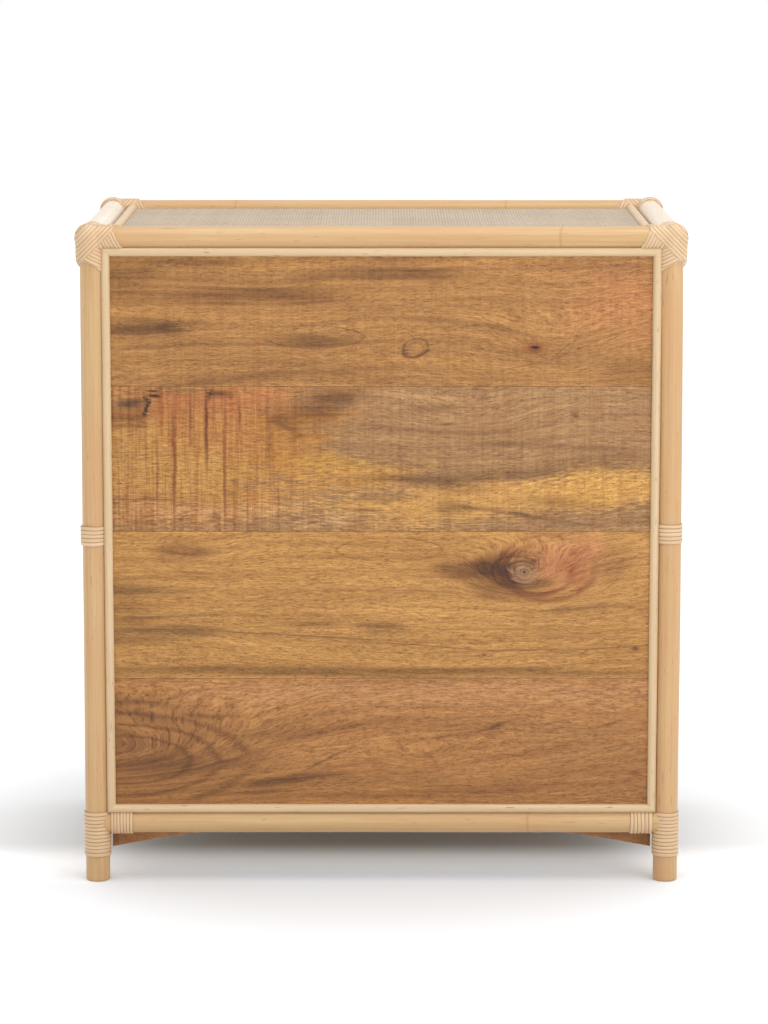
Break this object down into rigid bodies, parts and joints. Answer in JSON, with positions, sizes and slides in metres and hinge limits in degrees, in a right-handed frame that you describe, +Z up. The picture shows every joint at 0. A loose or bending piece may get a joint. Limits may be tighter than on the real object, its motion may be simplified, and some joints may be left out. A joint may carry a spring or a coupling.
{
  "type": "chest of drawers",
  "caption": "Rattan pole frame around mango-wood boards and woven cane mats, with wide drawers that slide out at the front and a plank back.",
  "frame": {"origin": "on the floor, under the middle of the chest", "axes": "+Z up; the drawers open towards -Y and the plank back faces +Y; +X to the right of someone facing the drawers"},
  "size_m": [0.8104, 0.4844, 0.8952],
  "materials": {
    "rattan_pole": "satin lacquered rattan pole",
    "cane_peel": "satin cane peel",
    "cane_trim": "satin half-round cane",
    "woven_cane": "matt herringbone weave",
    "mango_wood": "satin sawn planks",
    "inner_wood": "matt sanded wood",
    "knob_wood": "satin turned wood"
  },
  "bodies": {
    "chest": {"back_apron": "mango_wood", "back_battens": "inner_wood", "back_plank_1": "mango_wood", "back_plank_2": "mango_wood", "back_plank_3": "mango_wood", "back_plank_4": "mango_wood", "back_trim_level": "cane_trim", "back_trim_upright": "cane_trim", "bottom_board": "inner_wood", "bottom_rail_back": "rattan_pole", "bottom_rail_front": "rattan_pole", "bottom_rail_left": "rattan_pole", "bottom_rail_right": "rattan_pole", "corner_bindings": "cane_peel", "drawer_dividers": "mango_wood", "drawer_runners_left": "inner_wood", "drawer_runners_right": "inner_wood", "front_apron": "mango_wood", "leg_bindings": "cane_peel", "mid_bands": "cane_peel", "post_back_left": "rattan_pole", "post_back_right": "rattan_pole", "post_front_left": "rattan_pole", "post_front_right": "rattan_pole", "rail_bindings": "cane_peel", "side_aprons": "mango_wood", "side_board_left": "inner_wood", "side_board_right": "inner_wood", "side_mat_left": "woven_cane", "side_mat_right": "woven_cane", "side_trim_left": "cane_trim", "side_trim_right": "cane_trim", "top_board": "inner_wood", "top_mat": "woven_cane", "top_rail_back": "rattan_pole", "top_rail_front": "rattan_pole", "top_rail_left": "rattan_pole", "top_rail_right": "rattan_pole", "top_trim": "cane_trim"},
    "drawer_1": {"drawer_1_back": "inner_wood", "drawer_1_bottom": "inner_wood", "drawer_1_front": "mango_wood", "drawer_1_knobs": "knob_wood", "drawer_1_mat": "woven_cane", "drawer_1_sides": "inner_wood", "drawer_1_trim": "cane_trim"},
    "drawer_2": {"drawer_2_back": "inner_wood", "drawer_2_bottom": "inner_wood", "drawer_2_front": "mango_wood", "drawer_2_knobs": "knob_wood", "drawer_2_mat": "woven_cane", "drawer_2_sides": "inner_wood", "drawer_2_trim": "cane_trim"},
    "drawer_3": {"drawer_3_back": "inner_wood", "drawer_3_bottom": "inner_wood", "drawer_3_front": "mango_wood", "drawer_3_knobs": "knob_wood", "drawer_3_mat": "woven_cane", "drawer_3_sides": "inner_wood", "drawer_3_trim": "cane_trim"}
  },
  "joints": [
    {"name": "drawer_1_slide", "type": "slide", "parent": "chest", "child": "drawer_1", "axis": [0, -1, 0], "range_m": [0, 0.3]},
    {"name": "drawer_2_slide", "type": "slide", "parent": "chest", "child": "drawer_2", "axis": [0, -1, 0], "range_m": [0, 0.3]},
    {"name": "drawer_3_slide", "type": "slide", "parent": "chest", "child": "drawer_3", "axis": [0, -1, 0], "range_m": [0, 0.3]}
  ]
}
